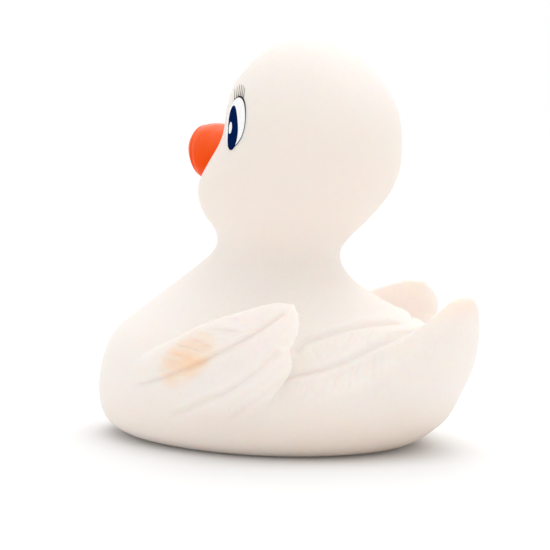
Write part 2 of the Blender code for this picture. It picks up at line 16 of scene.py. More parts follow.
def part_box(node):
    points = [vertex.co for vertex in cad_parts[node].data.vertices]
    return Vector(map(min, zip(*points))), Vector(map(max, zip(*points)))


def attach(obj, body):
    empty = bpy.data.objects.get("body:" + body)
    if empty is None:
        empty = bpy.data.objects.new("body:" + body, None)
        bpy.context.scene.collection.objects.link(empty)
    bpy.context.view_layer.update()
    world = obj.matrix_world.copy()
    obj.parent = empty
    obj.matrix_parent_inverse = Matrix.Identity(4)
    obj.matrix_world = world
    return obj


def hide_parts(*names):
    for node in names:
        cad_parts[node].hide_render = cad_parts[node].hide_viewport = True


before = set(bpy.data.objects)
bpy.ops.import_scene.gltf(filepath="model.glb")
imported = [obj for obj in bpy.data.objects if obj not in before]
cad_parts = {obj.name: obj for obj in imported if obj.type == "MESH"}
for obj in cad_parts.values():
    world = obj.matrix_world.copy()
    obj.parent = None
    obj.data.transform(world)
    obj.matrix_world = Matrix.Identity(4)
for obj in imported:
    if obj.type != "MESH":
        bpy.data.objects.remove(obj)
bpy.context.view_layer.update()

MM = 0.001
CUP_LOW, CUP_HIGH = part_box("well_cup")
AXIS_Y = (CUP_LOW[1] + CUP_HIGH[1]) / 2 / MM

# Camera: degrees, then millimetres. The aim is a place to the right of the cup's axis and a height.
CAMERA_AZIMUTH = 120.4
CAMERA_ELEVATION = 5.0
CAMERA_DISTANCE = 885.3
CAMERA_AIM = (0.3, 77.5)
CAMERA_LENS = 122.1
SENSOR_WIDTH = 36.0

# Lamps: name, way the light travels, energy, spread in degrees
LAMPS = (
    ("key_lamp", (0.2, -0.06, -0.98), 0.95, 75),
    ("back_lamp", (0.66, 0.36, -0.66), 0.45, 50),
)
FLOOR_RADIUS = 12.0  # metres
FLOOR_GAP = 0.0002  # metres under the duck

# Horizontal sections of hull, neck and head: height, front, back, place of the greatest width, half width
BODY_SECTIONS = (
    (0.0, -71.0, 62.0, 0.0, 50.0),
    (1.6, -79.5, 69.0, 0.0, 55.0),
    (6.0, -87.0, 77.0, 0.0, 60.5),
    (13.0, -90.8, 84.0, 0.0, 63.5),
    (24.0, -91.5, 88.0, 0.0, 64.5),
    (39.0, -88.5, 87.0, 0.0, 62.0),
    (50.0, -82.5, 82.5, 0.0, 56.0),
    (58.0, -72.5, 74.0, 0.0, 48.0),
    (65.0, -63.0, 58.5, 0.0, 41.0),
    (71.0, -54.5, 46.5, 0.0, 35.5),
    (77.0, -46.0, 37.5, 0.0, 31.5),
    (84.0, -36.0, 32.5, 0.0, 28.5),
    (90.0, -28.5, 32.0, 2.0, 27.5),
    (98.0, -26.5, 39.0, 5.0, 31.0),
    (106.0, -33.0, 47.5, 8.0, 36.5),
    (115.0, -36.5, 55.5, 11.0, 40.0),
    (122.0, -35.5, 59.5, 13.5, 41.5),
    (130.0, -30.5, 62.0, 16.5, 42.0),
    (143.0, -21.3, 62.3, 20.0, 42.0),
    (156.0, -19.0, 59.8, 20.0, 40.5),
    (168.0, -15.3, 53.0, 19.5, 35.5),
    (178.0, -7.0, 44.0, 19.0, 27.5),
    (185.0, 1.5, 34.5, 18.0, 18.0),
    (189.0, 10.0, 24.0, 17.0, 8.0),
)
# Horizontal sections of the tail: height, middle, half length, half width, forward bend of the sides
TAIL_SECTIONS = (
    (6.0, 50.0, 27.0, 34.0, 2.0),
    (14.0, 56.0, 31.0, 38.0, 4.0),
    (26.0, 64.0, 30.0, 39.5, 6.0),
    (38.0, 75.0, 25.0, 37.0, 8.0),
    (50.0, 87.0, 16.5, 28.5, 8.0),
    (60.0, 94.5, 10.0, 21.0, 6.0),
    (66.0, 97.5, 6.4, 15.5, 3.5),
    (70.0, 98.5, 4.2, 10.5, 1.5),
    (72.0, 98.7, 2.0, 6.0, 0.5),
)
# Cross sections of the wing's two lobes, front to back: out, place, height, half thickness, half width
UPPER_LOBE = (
    (50.5, -50.0, 27.0, 1.5, 2.0),
    (52.2, -43.0, 29.0, 4.3, 8.0),
    (56.2, -28.0, 32.8, 5.6, 13.3),
    (60.4, -8.5, 39.0, 6.3, 16.3),
    (62.4, 9.0, 47.0, 6.5, 16.2),
    (64.2, 26.0, 55.3, 5.5, 13.5),
    (65.6, 36.0, 60.1, 4.6, 11.8),
    (67.6, 43.0, 62.4, 3.6, 10.8),
    (68.8, 48.2, 61.4, 2.9, 9.9),
    (69.4, 50.8, 61.3, 2.4, 8.2),
    (69.6, 52.2, 61.3, 1.9, 6.3),
    (69.7, 53.0, 61.3, 1.3, 3.8),
)
LOWER_LOBE = (
    (55.5, -36.0, 18.0, 1.5, 2.0),
    (56.5, -28.0, 19.5, 4.0, 6.0),
    (59.5, -8.0, 21.5, 6.0, 10.0),
    (62.0, 10.0, 27.0, 6.0, 11.8),
    (64.2, 26.0, 35.0, 5.5, 11.0),
    (66.0, 36.0, 41.4, 4.7, 8.9),
    (67.8, 42.5, 46.8, 3.6, 7.7),
    (68.6, 45.8, 49.4, 2.6, 6.0),
    (69.2, 47.8, 51.0, 1.6, 4.0),
    (69.5, 48.8, 51.4, 0.8, 1.8),
)
WING_LEAN = 0.09  # outward, at the root
TIP_LEAN = 0.45  # inward, gained by the upper lobe on the way to its tip
LEAN_RUN = (15, 50)  # where along the wing the lean changes

# Points round a ring, and rows that between() makes of each pair of sections
BODY_POINTS = 150
TAIL_POINTS = 90
WING_POINTS = 40
BILL_POINTS = 96
ELLIPSE_POINTS = 56
TURNED_POINTS = 96
BODY_STEPS = 6
TAIL_STEPS = 6
WING_STEPS = 5
LINE_STEPS = 6
BILL_STEPS = 14

# Lines moulded into the left side; the right side mirrors them
RACHIS = ((56, -46, 29), (59, -33, 31), (64, -15, 37), (66, 0, 43), (67, 13, 49.5), (68, 24, 55),
          (68.5, 33, 60), (69, 43, 67), (69.5, 47.5, 70))
LOBE_LINE = ((63, -20, 16.5), (65, -7, 21.5), (66.5, 5, 27.5), (67.5, 15, 31.2), (68, 25, 37.3),
             (68.5, 33, 42.8), (69, 39, 48.4), (69.3, 44, 52), (69.5, 50, 54.7))
WING_EDGE = ((66, 12, 14), (66.5, 22, 21.5), (67, 31, 28), (67.5, 38, 33), (67.5, 44, 37.5), (67, 49, 42))
RUMP_LINE = ((52, 40, 47), (46, 42, 52.5), (40, 47.9, 55.1), (32.3, 54.5, 57.9), (20.3, 63.3, 59.6),
             (12, 68, 59.5), (4, 72, 59))
FLANK_LINE = ((60, 34, 34), (54.8, 40.2, 38.4), (50.2, 49.3, 40.7), (45.8, 55.3, 42.8), (39.1, 62.5, 46.2),
              (32.5, 67.2, 49.7), (24.8, 71.5, 52.7), (14, 76, 56), (6, 80, 57))
TAIL_RIM = ((55, 46, 27), (48.4, 56.8, 29.9), (43.2, 63.9, 32.9), (36.2, 71.6, 37), (31.4, 80.8, 43.7),
            (27.2, 86.7, 50.8), (22.5, 92.6, 59), (14.6, 99.3, 65.9), (6, 101, 70))

VOXEL = 1.5  # size of a cell when the forms are joined into one skin
SHARP_ANGLE = math.radians(50)

# Belly pocket: radius and height, from the opening up past the lip and round the flange to the cup's roof
POCKET_START = -3.0
POCKET = (
    (46.0, POCKET_START), (46.0, 3.9), (40.0, 3.9), (40.0, 6.2), (48.4, 6.2), (48.4, 22.0), (37.0, 24.0),
    (37.0, 61.5), (0.0, 61.5),
)
AXIS_RADIUS = 0.01  # stands in for none, so that a ring at the axis keeps its faces

# Tint on the wing: middle, slope of its long axis, and reach out, along and across
TINT_MIDDLE = (66.0, -7.0, 44.0)
TINT_SLOPE = math.radians(32)
TINT_REACH = (16.0, 24.0, 11.5)
TAIL_GLOW_PLACE = (68.0, 82.0)  # where the painted glow on the tail's top starts and is full


def between(rows, steps):
    """Rows of numbers with steps - 1 more rows inside each pair, on smooth curves through all of them."""
    rows = np.array(rows, float)
    before = np.vstack([rows[:1], rows[:-2]])
    after = np.vstack([rows[2:], rows[-1:]])
    start, end = rows[:-1], rows[1:]
    result = []
    for t in np.arange(steps) / steps:
        result.append(0.5 * (
            2 * start + (end - before) * t + (2 * before - 5 * start + 4 * end - after) * t ** 2
            + (3 * start - before - 3 * end + after) * t ** 3
        ))
    return np.vstack([np.stack(result, 1).reshape(-1, rows.shape[1]), rows[-1:]])


def turn(count):
    return np.arange(count) * math.tau / count


def body_rings():
    rings = []
    angle = turn(BODY_POINTS)
    for height, front, back, widest, half_width in between(BODY_SECTIONS, BODY_STEPS):
        reach = np.where(np.sin(angle) > 0, back - widest, widest - front)
        rings.append(np.stack([
            half_width * np.cos(angle), widest + reach * np.sin(angle), np.full(BODY_POINTS, height)
        ], 1))
    return rings


def tail_rings():
    rings = []
    angle = turn(TAIL_POINTS)
    side = np.cos(angle)
    for height, middle, half_length, half_width, bend in between(TAIL_SECTIONS, TAIL_STEPS):
        back = middle + half_length * np.sin(angle) - bend * side ** 2
        rings.append(np.stack([half_width * side, back, np.full(TAIL_POINTS, height)], 1))
    return rings


def lobe_rings(sections, side, tip_lean):
    """Rings of a leaf whose sections stand square to its middle line in side view."""
    rows = between(sections, WING_STEPS)
    heading = np.gradient(rows[:, 1:3], axis=0)
    heading /= np.linalg.norm(heading, axis=1)[:, None]
    rings = []
    angle = turn(WING_POINTS)
    for (out, back, height, thick, wide), (ahead, rise) in zip(rows, heading):
        across, up = thick * np.cos(angle), wide * np.sin(angle)
        lean = WING_LEAN - tip_lean * fade(back, *LEAN_RUN)
        rings.append(np.stack([
            side * (out + across + lean * up), back - rise * up, height + ahead * up
        ], 1))
    return rings


def loft(rings):
    """Points and faces of a closed skin over the rings."""
    count = len(rings[0])
    points = np.vstack(rings)
    faces = []
    for row in range(len(rings) - 1):
        for i in range(count):
            j = (i + 1) % count
            low, high = row * count, (row + 1) * count
            faces.append((low + i, low + j, high + j, high + i))
    faces.append(tuple(range(count))[::-1])
    faces.append(tuple(range(len(points) - count, len(points))))
    return points, faces


def join(shapes):
    points, faces, start = [], [], 0
    for shape_points, shape_faces in shapes:
        points.append(shape_points)
        faces += [tuple(start + i for i in face) for face in shape_faces]
        start += len(shape_points)
    return np.vstack(points), faces


def place(name, points, faces):
    """A mesh object from points in millimetres about the cup's axis."""
    mesh = bpy.data.meshes.new(name)
    world = (np.asarray(points, float) + (0.0, AXIS_Y, 0.0)) * MM
    mesh.from_pydata(world.tolist(), [], [tuple(int(i) for i in face) for face in faces])
    bm = bmesh.new()
    bm.from_mesh(mesh)
    bmesh.ops.recalc_face_normals(bm, faces=bm.faces)
    bm.to_mesh(mesh)
    bm.free()
    mesh.shade_smooth()
    obj = bpy.data.objects.new(name, mesh)
    bpy.context.scene.collection.objects.link(obj)
    return obj


def applied(obj):
    """Replaces the object's mesh by what its modifiers make of it."""
    graph = bpy.context.evaluated_depsgraph_get()
    mesh = bpy.data.meshes.new_from_object(obj.evaluated_get(graph))
    obj.modifiers.clear()
    old = obj.data
    obj.data = mesh
    bpy.data.meshes.remove(old)
    return obj


def points_of(mesh):
    points = np.empty(len(mesh.vertices) * 3)
    mesh.vertices.foreach_get("co", points)
    return points.reshape(-1, 3) / MM - (0.0, AXIS_Y, 0.0)


def normals_of(mesh):
    normals = np.empty(len(mesh.vertices) * 3)
    mesh.vertices.foreach_get("normal", normals)
    return normals.reshape(-1, 3)


def set_points(mesh, points):
    world = (points + (0.0, AXIS_Y, 0.0)) * MM
    mesh.vertices.foreach_set("co", world.ravel())
    mesh.update()


def edges_of(mesh):
    edges = np.empty(len(mesh.edges) * 2, np.int64)
    mesh.edges.foreach_get("vertices", edges)
    return edges.reshape(-1, 2)


def neighbour_mean(points, edges, counts):
    total = np.empty_like(points)
    for axis in range(3):
        total[:, axis] = (
            np.bincount(edges[:, 0], points[edges[:, 1], axis], len(points))
            + np.bincount(edges[:, 1], points[edges[:, 0], axis], len(points))
        )
    return total / counts


LEAST_HOLLOW = 0.004  # what counts as a hollow: the way to the neighbours' middle, outward


def smooth(mesh, rounds, weight=None, hollows_only=False):
    """Moves each point towards the middle of its neighbours, or only the points that lie in a hollow."""
    edges = edges_of(mesh)
    counts = np.bincount(edges.ravel(), minlength=len(mesh.vertices))[:, None].clip(1)
    points = points_of(mesh)
    for _ in range(rounds):
        move = neighbour_mean(points, edges, counts) - points
        if hollows_only:
            set_points(mesh, points)
            inward = (move * normals_of(mesh)).sum(1) > LEAST_HOLLOW
            move *= inward[:, None]
        if weight is not None:
            move *= weight[:, None]
        points = points + 0.5 * move
    set_points(mesh, points)


def fade(value, start, end):
    """0 at start, 1 at end, with a smooth run between."""
    t = np.clip((value - start) / (end - start), 0, 1)
    return t * t * (3 - 2 * t)


class Line:
    """A smooth line on the surface, and where points lie beside it."""

    def __init__(self, points, tree):
        on_surface = []
        for point in between(points, LINE_STEPS):
            world = Vector(((point + (0.0, AXIS_Y, 0.0)) * MM).tolist())
            found = tree.find_nearest(world)[0]
            on_surface.append(np.array(found) / MM - (0.0, AXIS_Y, 0.0))
        self.points = np.array(on_surface)
        steps = np.linalg.norm(np.diff(self.points, axis=0), axis=1)
        self.along = np.concatenate([[0.0], np.cumsum(steps)])
        self.length = self.along[-1]

    def measure(self, points, normals):
        """Distance from the line, place along it, and distance to the side, positive above it."""
        best = np.full(len(points), 1e9)
        place_along = np.zeros(len(points))
        side = np.zeros(len(points))
        for start, end, base in zip(self.points, self.points[1:], self.along):
            run = end - start
            length = np.linalg.norm(run)
            if length < 1e-6:
                continue
            t = np.clip((points - start) @ run / length ** 2, 0, 1)
            gap = points - (start + t[:, None] * run)
            distance = np.linalg.norm(gap, axis=1)
            nearer = distance < best
            best = np.where(nearer, distance, best)
            place_along = np.where(nearer, base + t * length, place_along)
            across = -np.cross(run / length, normals)
            side = np.where(nearer, (gap * across).sum(1), side)
        return best, place_along, side


def groove(distance, along, length, depth, width, fade_in, fade_out):
    """A rounded cut along a line, which fades in and out at its ends."""
    ends = fade(along, 0, fade_in) * fade(length - along, 0, fade_out)
    return -depth * ends * np.exp(-(distance / width) ** 2)


def barbs(along, side, spacing, slant, depth, band, run, seed):
    """Fine slanting cuts in a band of places to the side of a line, over a run of places along it."""
    wobble = 0.16 * np.sin(along * 0.21 + seed) + 0.1 * np.sin(side * 0.5 + 2 * seed)
    phase = (along + slant * side) / spacing + wobble
    cut = (0.5 + 0.5 * np.cos(math.tau * phase)) ** 5
    across = fade(side, band[0], band[0] + 2) * fade(band[1] - side, 0, 3)
    ends = fade(along, run[0], run[0] + 6) * fade(run[1] - along, 0, 8)
    strength = 0.7 + 0.3 * np.sin(np.floor(phase + 0.5) * 2.4 + seed)
    return -depth * cut * across * ends * strength


def relief(points, normals, tree):
    """Height of the moulded feather lines over the plain skin."""
    side = np.where(points[:, :1] < 0, -1.0, 1.0)
    mirror = np.hstack([side, np.ones_like(side), np.ones_like(side)])
    q, n = points * mirror, normals * mirror
    height = np.zeros(len(points))
    near = (q[:, 2] > 3) & (q[:, 2] < 76) & (q[:, 0] > 1) & (n[:, 0] > -0.5)
    q, n = q[near], n[near]
    local = np.zeros(len(q))
    on_wing = fade(n[:, 0], 0.1, 0.4)

    rachis = Line(RACHIS, tree)
    away, along, above = rachis.measure(q, n)
    local += on_wing * groove(away, along, rachis.length, depth=2.0, width=1.4, fade_in=22, fade_out=5)
    local += on_wing * barbs(along, above, 7.6, 1.7, depth=1.0, band=(3.2, 13.0), run=(30, 86), seed=0.4)
    local += on_wing * barbs(along, -above, 4.8, 0.8, depth=0.35, band=(3.0, 12.0), run=(24, 90), seed=1.7)
    hollow = ((along - 34) / 13) ** 2 + ((above - 3.2) / 3.4) ** 2
    local -= on_wing * 1.3 * np.exp(-hollow) * (away < 14)

    line = Line(LOBE_LINE, tree)
    away, along, above = line.measure(q, n)
    local += on_wing * groove(away, along, line.length, depth=1.5, width=1.6, fade_in=10, fade_out=5)
    local += on_wing * barbs(along, -above, 4.2, 0.9, depth=0.35, band=(2.5, 11.0), run=(14, 62), seed=2.9)

    line = Line(WING_EDGE, tree)
    away, along, above = line.measure(q, n)
    local += groove(away, along, line.length, depth=1.1, width=2.0, fade_in=12, fade_out=4)

    line = Line(RUMP_LINE, tree)
    away, along, above = line.measure(q, n)
    local += groove(away, along, line.length, depth=1.6, width=1.7, fade_in=4, fade_out=8)
    ends = fade(along, 2, 12) * fade(line.length - along, 0, 10)
    local += 0.5 * np.exp(-((above - 4.5) / 3.5) ** 2) * (away < 12) * ends
    local += barbs(along, -above, 3.6, 0.9, depth=0.6, band=(2.0, 13.0), run=(3, 50), seed=4.2)

    line = Line(FLANK_LINE, tree)
    away, along, above = line.measure(q, n)
    local += groove(away, along, line.length, depth=1.8, width=1.7, fade_in=4, fade_out=6)
    local += barbs(along, -above, 3.6, 0.9, depth=0.6, band=(2.0, 14.0), run=(3, 60), seed=5.5)

    line = Line(TAIL_RIM, tree)
    away, along, above = line.measure(q, n)
    ends = fade(along, 4, 26) * fade(line.length - along, 0, 16)
    local += ends * 1.6 * np.exp(-(above / 3.2) ** 2) * (away < 11)
    local -= ends * 1.6 * np.exp(-((above - 8.0) / 4.0) ** 2) * (away < 18)
    height[near] = local
    return height


def turned(name, profile):
    """A solid turned about the cup's axis, from a profile of radius and height."""
    rings = []
    angle = turn(TURNED_POINTS)
    for radius, height in profile:
        reach = max(radius, AXIS_RADIUS)
        rings.append(np.stack([
            reach * np.cos(angle), reach * np.sin(angle), np.full(TURNED_POINTS, height)
        ], 1))
    return place(name, *loft(rings))


def skin_blank():
    shapes = [loft(body_rings()), loft(tail_rings())]
    for side in (1, -1):
        shapes += [loft(lobe_rings(UPPER_LOBE, side, TIP_LEAN)), loft(lobe_rings(LOWER_LOBE, side, 0.0))]
    skin = place("duck_skin_surface", *join(shapes))
    remesh = skin.modifiers.new("union", "REMESH")
    remesh.mode = "VOXEL"
    remesh.voxel_size = VOXEL * MM
    return applied(skin)


def carve_pocket(skin):
    """The belly opening with its inward lip, and room above it for the cup, its flange and the ballast."""
    cutter = turned("pocket", ((0.0, POCKET_START), *POCKET))
    cut = skin.modifiers.new("pocket", "BOOLEAN")
    cut.object = cutter
    cut.operation = "DIFFERENCE"
    cut.solver = "MANIFOLD"
    applied(skin)
    bpy.data.objects.remove(cutter)
    return skin


def tree_of(obj):
    return BVHTree.FromObject(obj, bpy.context.evaluated_depsgraph_get())


def make_skin():
    skin = skin_blank()
    points = points_of(skin.data)
    rear = fade(points[:, 1], 38, 55) * fade(points[:, 2], 6, 16)
    smooth(skin.data, rounds=60, weight=rear, hollows_only=True)
    smooth(skin.data, rounds=12, hollows_only=True)
    smooth(skin.data, rounds=5)
    finer = skin.modifiers.new("finer", "SUBSURF")
    finer.levels = finer.render_levels = 1
    applied(skin)
    tree = tree_of(skin)
    points, normals = points_of(skin.data), normals_of(skin.data)
    points += normals * relief(points, normals, tree)[:, None]
    points[:, 2] = points[:, 2].clip(0.0)
    set_points(skin.data, points)
    smooth(skin.data, rounds=1)
    carve_pocket(skin)
    skin.data.shade_smooth()
    skin.data.set_sharp_from_angle(angle=SHARP_ANGLE)
    return skin


# Materials


def node_material(name, colour, roughness, metallic=0.0):
    made = bpy.data.materials.new(name)
    made.use_nodes = True
    shader = made.node_tree.nodes["Principled BSDF"]
    shader.inputs["Base Color"].default_value = (*colour, 1.0)
    shader.inputs["Roughness"].default_value = roughness
    shader.inputs["Metallic"].default_value = metallic
    return made, made.node_tree, shader


def noise(tree, scale, detail=3.0, stretch=None):
    """Noise fixed to the piece, in cycles for each metre."""
    coords = tree.nodes.new("ShaderNodeTexCoord")
    source = coords.outputs["Object"]
    if stretch:
        mapping = tree.nodes.new("ShaderNodeMapping")
        mapping.inputs["Scale"].default_value = stretch
        tree.links.new(source, mapping.inputs["Vector"])
        source = mapping.outputs["Vector"]
    made = tree.nodes.new("ShaderNodeTexNoise")
    made.inputs["Scale"].default_value = scale
    made.inputs["Detail"].default_value = detail
    tree.links.new(source, made.inputs["Vector"])
    return made.outputs["Fac"]


def mix(tree, factor, first, second):
    """A colour mix. The factor is a socket, and each colour is a value or a socket."""
    node = tree.nodes.new("ShaderNodeMix")
    node.data_type = "RGBA"
    for socket, value in ((node.inputs[0], factor), (node.inputs[6], first), (node.inputs[7], second)):
        if isinstance(value, bpy.types.NodeSocket):
            tree.links.new(value, socket)
        else:
            socket.default_value = (*value, 1.0)
    return node.outputs[2]


def ramp(tree, source, low, high, out_low=0.0, out_high=1.0):
    node = tree.nodes.new("ShaderNodeMapRange")
    node.interpolation_type = "SMOOTHSTEP"
    for socket, value in zip(node.inputs[1:5], (low, high, out_low, out_high)):
        socket.default_value = value
    tree.links.new(source, node.inputs[0])
    return node.outputs[0]


def bump(tree, shader, source, strength, distance):
    node = tree.nodes.new("ShaderNodeBump")
    node.inputs["Strength"].default_value = strength
    node.inputs["Distance"].default_value = distance
    tree.links.new(source, node.inputs["Height"])
    tree.links.new(node.outputs["Normal"], shader.inputs["Normal"])


def maths(tree, operation, *values):
    """A sum of one or two values, each a number or a socket."""
    node = tree.nodes.new("ShaderNodeMath")
    node.operation = operation
    for socket, value in zip(node.inputs, values):
        if isinstance(value, bpy.types.NodeSocket):
            tree.links.new(value, socket)
        else:
            socket.default_value = value
    return node.outputs[0]


def place_of(tree):
    """The separate X, Y and Z of each place on the piece, in metres."""
    coords = tree.nodes.new("ShaderNodeTexCoord")
    split = tree.nodes.new("ShaderNodeSeparateXYZ")
    tree.links.new(coords.outputs["Object"], split.inputs[0])
    return split.outputs


def tint_mask(tree):
    """The tint on both wings: a soft oval laid along the vane above the rachis, broken up by streaks."""
    spot_place = place_of(tree)
    across = maths(tree, "ABSOLUTE", spot_place["X"])
    back = maths(tree, "SUBTRACT", spot_place["Y"], (TINT_MIDDLE[1] + AXIS_Y) * MM)
    up = maths(tree, "SUBTRACT", spot_place["Z"], TINT_MIDDLE[2] * MM)
    ahead, rise = math.cos(TINT_SLOPE), math.sin(TINT_SLOPE)
    along = maths(tree, "ADD", maths(tree, "MULTIPLY", back, ahead), maths(tree, "MULTIPLY", up, rise))
    above = maths(tree, "SUBTRACT", maths(tree, "MULTIPLY", up, ahead), maths(tree, "MULTIPLY", back, rise))
    out = maths(tree, "SUBTRACT", across, TINT_MIDDLE[0] * MM)
    total = None
    for offset, reach in zip((out, along, above), TINT_REACH):
        part = maths(tree, "DIVIDE", offset, reach * MM)
        square = maths(tree, "MULTIPLY", part, part)
        total = square if total is None else maths(tree, "ADD", total, square)
    spot = ramp(tree, total, 1.0, 0.0)
    streaks = ramp(tree, noise(tree, 130.0, 3.0, stretch=(1.0, 0.45, 1.6)), 0.3, 0.7, 0.45, 1.0)
    return maths(tree, "MULTIPLY", spot, streaks)


def foot_shade_mask(tree):
    """Painted shade: the vinyl is darker and warmer towards its base, and more so at the rear."""
    foot_place = place_of(tree)
    low = ramp(tree, foot_place["Z"], 0.034, 0.0)
    rear = ramp(tree, foot_place["Y"], -0.05, 0.08, 0.3, 0.75)
    return maths(tree, "MULTIPLY", low, rear)


def vinyl_material():
    """Cream vinyl, darker and warmer about the neck (partly its own tone, partly painted shade) and at the
    foot (painted shade), with the tint of the wings and a painted glow on the tail.
    """
    made, tree, shader = node_material("cream_vinyl_skin", (0.90, 0.83, 0.77), 0.46)
    shader.inputs["Subsurface Weight"].default_value = 0.55
    shader.inputs["Subsurface Radius"].default_value = (1.0, 0.55, 0.35)
    shader.inputs["Subsurface Scale"].default_value = 0.006
    shader.inputs["Specular IOR Level"].default_value = 0.12
    shade = ramp(tree, noise(tree, 14.0, 2.0), 0.3, 0.7)
    pale = mix(tree, shade, (0.92, 0.86, 0.815), (0.91, 0.845, 0.795))
    warm = mix(tree, shade, (0.885, 0.805, 0.74), (0.875, 0.79, 0.72))
    skin_place = place_of(tree)
    # Darker and warmer about the neck and lower head, fading towards the crown: partly the vinyl's own tone,
    # partly painted shade.
    neck_tone_and_shade = ramp(tree, skin_place["Z"], 0.06, 0.12)
    crown = ramp(tree, skin_place["Z"], 0.13, 0.18, 1.0, 0.1)
    base = mix(tree, maths(tree, "MULTIPLY", neck_tone_and_shade, crown), pale, warm)
    fine = ramp(tree, noise(tree, 420.0, 2.0), 0.35, 0.65, 0.0, 0.15)
    base = mix(tree, fine, base, (0.87, 0.785, 0.71))
    # Painted shade at the foot: a darker, warmer colour towards the base.
    base = mix(tree, foot_shade_mask(tree), base, (0.84, 0.70, 0.59))
    base = mix(tree, tint_mask(tree), base, (0.97, 0.68, 0.47))
    # Painted glow: the top of the tail's tip turns peach in place of light shining through the thin vinyl.
    start, full = ((back + AXIS_Y) * MM for back in TAIL_GLOW_PLACE)
    high = ramp(tree, skin_place["Z"], 0.06, 0.07, 0.0, 0.4)
    painted_glow = maths(tree, "MULTIPLY", high, ramp(tree, skin_place["Y"], start, full))
    base = mix(tree, painted_glow, base, (0.95, 0.73, 0.57))
    tree.links.new(base, shader.inputs["Base Color"])
    tree.links.new(ramp(tree, noise(tree, 60.0), 0.3, 0.7, 0.42, 0.52), shader.inputs["Roughness"])
    bump(tree, shader, noise(tree, 900.0, 3.0), 0.12, 0.0004)
    return made


def bill_material():
    """Glossy orange, with a painted pink highlight over the top."""
    made, tree, shader = node_material("orange_bill_vinyl", (0.95, 0.09, 0.002), 0.3)
    shader.inputs["Subsurface Weight"].default_value = 0.1
    shader.inputs["Subsurface Radius"].default_value = (1.0, 0.25, 0.08)
    shader.inputs["Subsurface Scale"].default_value = 0.004
    shader.inputs["Specular IOR Level"].default_value = 0.07
    # Painted highlight: the top of the bill turns a lighter pink in place of the gloss's reflection.
    painted_highlight = maths(
        tree, "MULTIPLY", ramp(tree, place_of(tree)["Z"], 0.13, 0.147),
        ramp(tree, noise(tree, 70.0), 0.3, 0.7, 0.6, 1.0),
    )
    base = mix(tree, painted_highlight, (0.9, 0.075, 0.0), (0.98, 0.145, 0.045))
    tree.links.new(base, shader.inputs["Base Color"])
    tree.links.new(ramp(tree, noise(tree, 200.0), 0.3, 0.7, 0.2, 0.3), shader.inputs["Roughness"])
    bump(tree, shader, noise(tree, 600.0), 0.08, 0.0003)
    return made


def paint_material(name, light, dark, roughness):
    """Dull paint, a little uneven in colour and gloss."""
    made, tree, shader = node_material(name, light, roughness)
    shader.inputs["Specular IOR Level"].default_value = 0.0
    shade = ramp(tree, noise(tree, 500.0), 0.3, 0.7)
    tree.links.new(mix(tree, shade, light, dark), shader.inputs["Base Color"])
    gloss = ramp(tree, noise(tree, 900.0), 0.3, 0.7, roughness - 0.06, roughness + 0.06)
    tree.links.new(gloss, shader.inputs["Roughness"])
    return made


def plastic_material(name, colour, roughness):
    """Moulded plastic: faint flow marks, a fine grain and slightly uneven gloss."""
    made, tree, shader = node_material(name, colour, roughness)
    darker = tuple(0.88 * channel for channel in colour)
    flow = ramp(tree, noise(tree, 45.0, 4.0, stretch=(1.0, 1.0, 0.35)), 0.35, 0.7)
    tree.links.new(mix(tree, flow, colour, darker), shader.inputs["Base Color"])
    gloss = ramp(tree, noise(tree, 150.0), 0.3, 0.7, roughness - 0.07, roughness + 0.07)
    tree.links.new(gloss, shader.inputs["Roughness"])
    bump(tree, shader, noise(tree, 1800.0), 0.1, 0.0002)
    return made


def rubber_material():
    """Black rubber with a fine grain."""
    made, tree, shader = node_material("gasket_rubber", (0.025, 0.025, 0.027), 0.7)
    grain = ramp(tree, noise(tree, 900.0), 0.3, 0.7)
    tree.links.new(mix(tree, grain, (0.02, 0.02, 0.022), (0.045, 0.045, 0.048)), shader.inputs["Base Color"])
    bump(tree, shader, noise(tree, 1500.0), 0.2, 0.0002)
    return made


def steel_material(name, colour, roughness):
    """Metal with faint brushing and uneven gloss."""
    made, tree, shader = node_material(name, colour, roughness, 1.0)
    brushed = ramp(tree, noise(tree, 260.0, 4.0, stretch=(1.0, 1.0, 14.0)), 0.3, 0.7)
    darker = tuple(0.75 * channel for channel in colour)
    tree.links.new(mix(tree, brushed, colour, darker), shader.inputs["Base Color"])
    gloss = ramp(tree, noise(tree, 320.0, 4.0), 0.3, 0.7, roughness - 0.08, roughness + 0.1)
    tree.links.new(gloss, shader.inputs["Roughness"])
    return made


def tablet_material():
    """Pressed powder with dark specks."""
    made, tree, shader = node_material("pressed_chlorine", (0.88, 0.89, 0.87), 0.88)
    speck = ramp(tree, noise(tree, 1400.0, 4.0), 0.45, 0.62)
    tree.links.new(mix(tree, speck, (0.90, 0.91, 0.89), (0.74, 0.76, 0.75)), shader.inputs["Base Color"])
    bump(tree, shader, noise(tree, 1100.0, 5.0), 0.5, 0.0005)
    return made


def dress_nodes():
    """Better materials for the CAD nodes that stay."""
    white = plastic_material("white_moulding", (0.84, 0.86, 0.86), 0.36)
    blue = plastic_material("pool_blue_moulding", (0.04, 0.27, 0.58), 0.34)
    pale = plastic_material("pale_blue_moulding", (0.42, 0.68, 0.84), 0.34)
    stainless = steel_material("stainless_hardware", (0.62, 0.62, 0.61), 0.28)
    zinc = steel_material("zinc_plated_ballast", (0.52, 0.54, 0.55), 0.42)
    chosen = {
        "well_cup": white, "retaining_ring": white, "base_cap": white, "lock_slider": blue,
        "flow_sleeve": blue, "tablet_basket": pale, "skin_gasket": rubber_material(), "ballast_ring": zinc,
        "pivot_screw": stainless, "pivot_washer": stainless,
    }
    tablet = tablet_material()
    for i in range(1, 7):
        chosen[f"tablet_{i}"] = tablet
        chosen[f"ring_screw_{i}"] = stainless
    for name, made in chosen.items():
        mesh = bpy.data.objects[name].data
        mesh.materials.clear()
        mesh.materials.append(made)


# Bill and eyes

